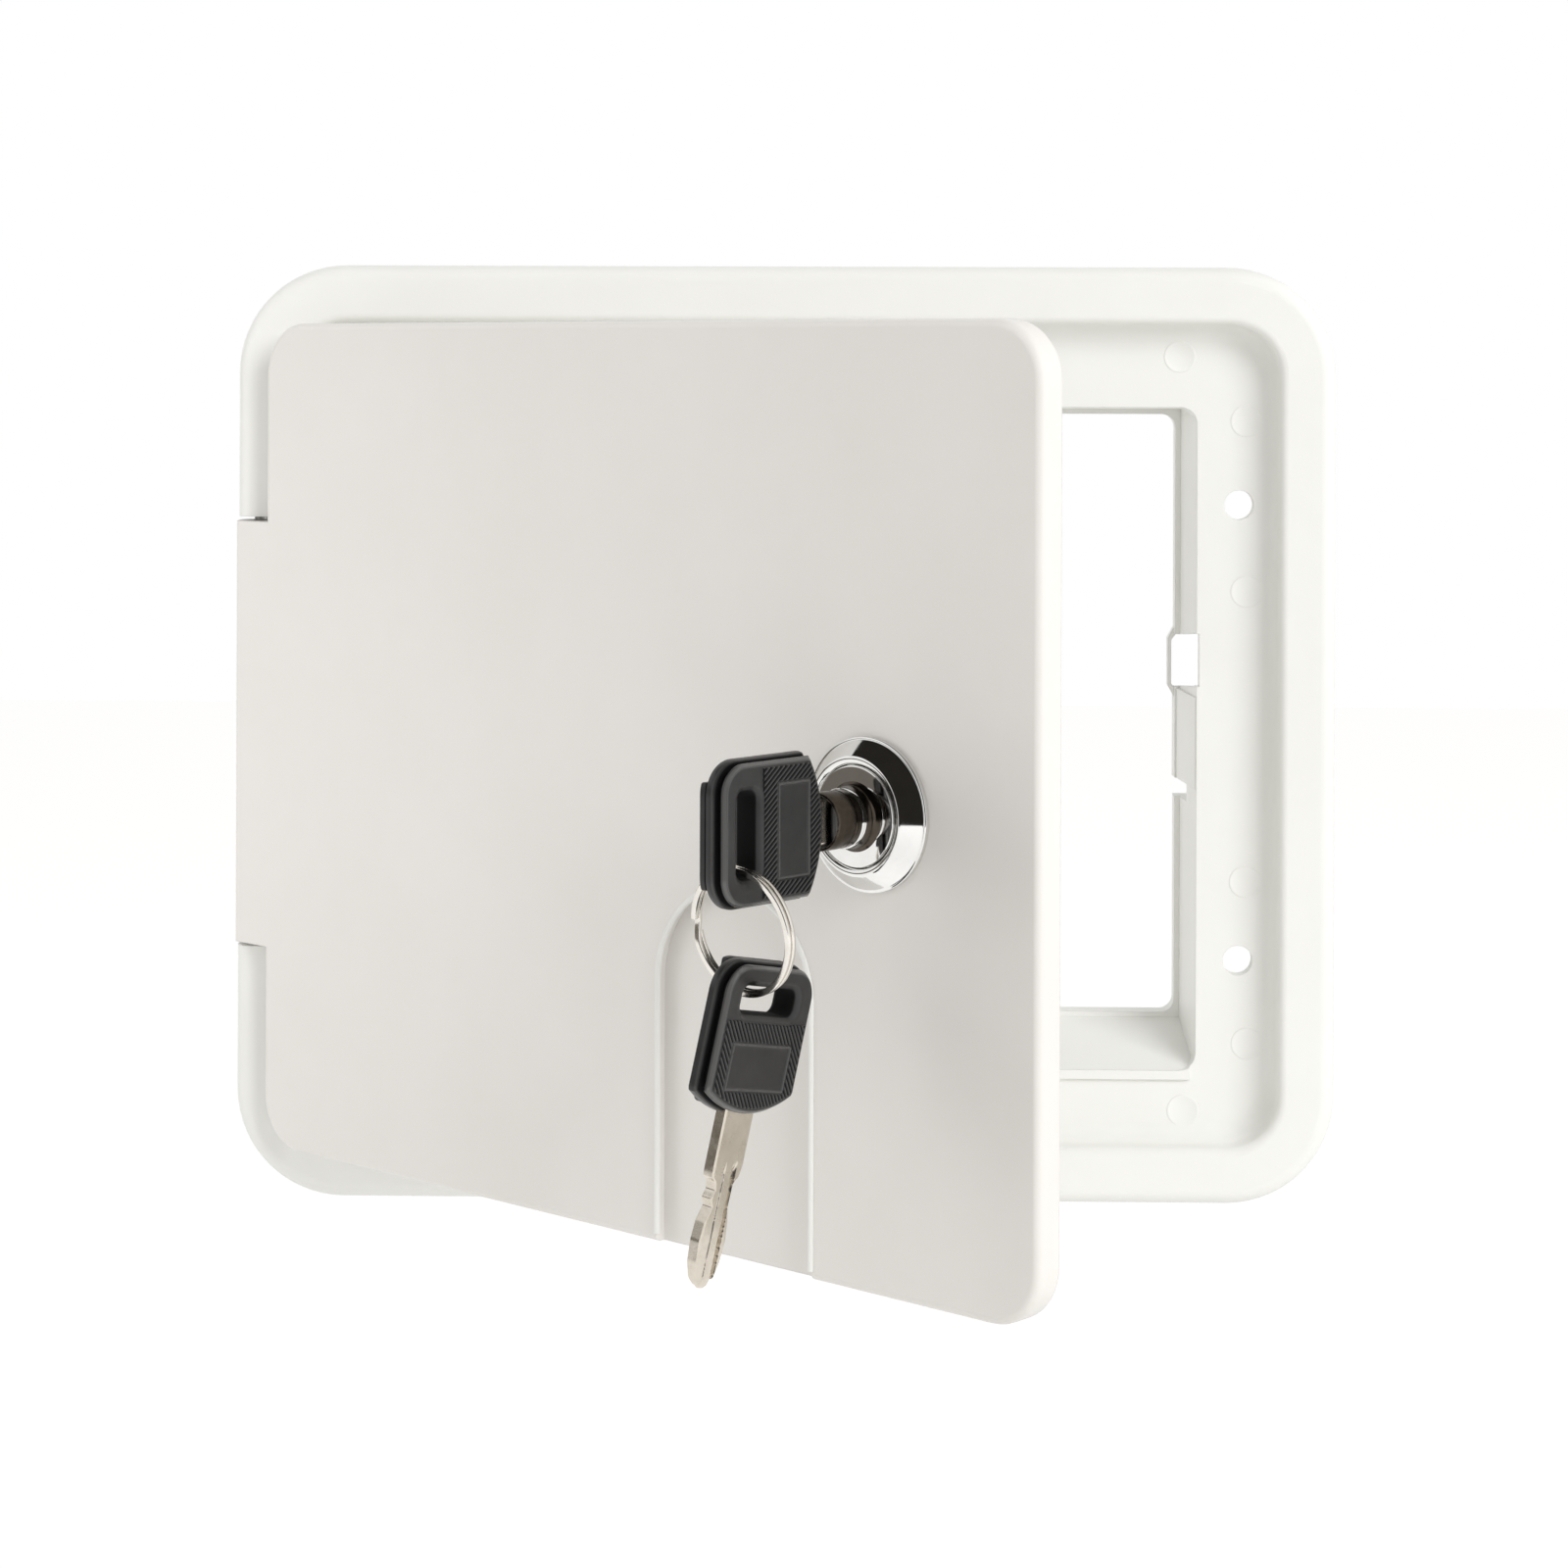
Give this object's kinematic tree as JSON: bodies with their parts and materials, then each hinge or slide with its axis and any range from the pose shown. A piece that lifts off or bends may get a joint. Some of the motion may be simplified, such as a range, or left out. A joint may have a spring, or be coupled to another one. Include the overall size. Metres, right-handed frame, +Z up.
{
  "type": "power cord hatch",
  "caption": "Wall-mounted cord hatch: a raised white frame with a side-hinged lid, cam lock, key in the lock and spare key on a ring.",
  "frame": {"origin": "centre of the frame in the plane of the wall, at the flange's back face", "axes": "+X to the lid's free edge when closed, +Y into the wall, +Z up; the hatch faces -Y"},
  "size_m": [0.1852, 0.1452, 0.1574],
  "materials": {
    "white_abs": "satin",
    "pin_steel": "satin",
    "chrome": "polished",
    "zinc_steel": "satin",
    "nickel": "satin",
    "black_plastic": "satin"
  },
  "bodies": {
    "frame_body": {"frame": "white_abs", "hinge_pin": "pin_steel"},
    "lid_body": {"lid": "white_abs", "lock_housing": "chrome", "lock_nut": "zinc_steel"},
    "plug_body": {"lock_plug": "chrome", "latch_cam": "zinc_steel", "cam_screw": "zinc_steel", "key_blade": "nickel", "key_head": "black_plastic"},
    "ring_body": {"key_ring": "nickel"},
    "spare_key_body": {"spare_key_blade": "nickel", "spare_key_head": "black_plastic"}
  },
  "joints": [
    {"name": "lid_hinge", "type": "hinge", "parent": "frame_body", "child": "lid_body", "pos_m": [-0.0892, -0.0038, 0], "axis": [0, 0, -1], "range_deg": [-40.9, 78]},
    {"name": "lock_turn", "type": "hinge", "parent": "lid_body", "child": "plug_body", "pos_m": [0.01768, -0.09638, -0.001], "axis": [0.6547, 0.7559, 0], "range_deg": [0, 90]},
    {"name": "ring_swing", "type": "hinge", "parent": "plug_body", "child": "ring_body", "pos_m": [-0.00399, -0.1214, -0.0058], "axis": [-0.7559, 0.6547, 0], "range_deg": [-8, 40]},
    {"name": "spare_key_swing", "type": "hinge", "parent": "ring_body", "child": "spare_key_body", "pos_m": [-0.00244, -0.1196, -0.02273], "axis": [-0.7559, 0.6547, 0], "range_deg": [-12, 30]}
  ]
}
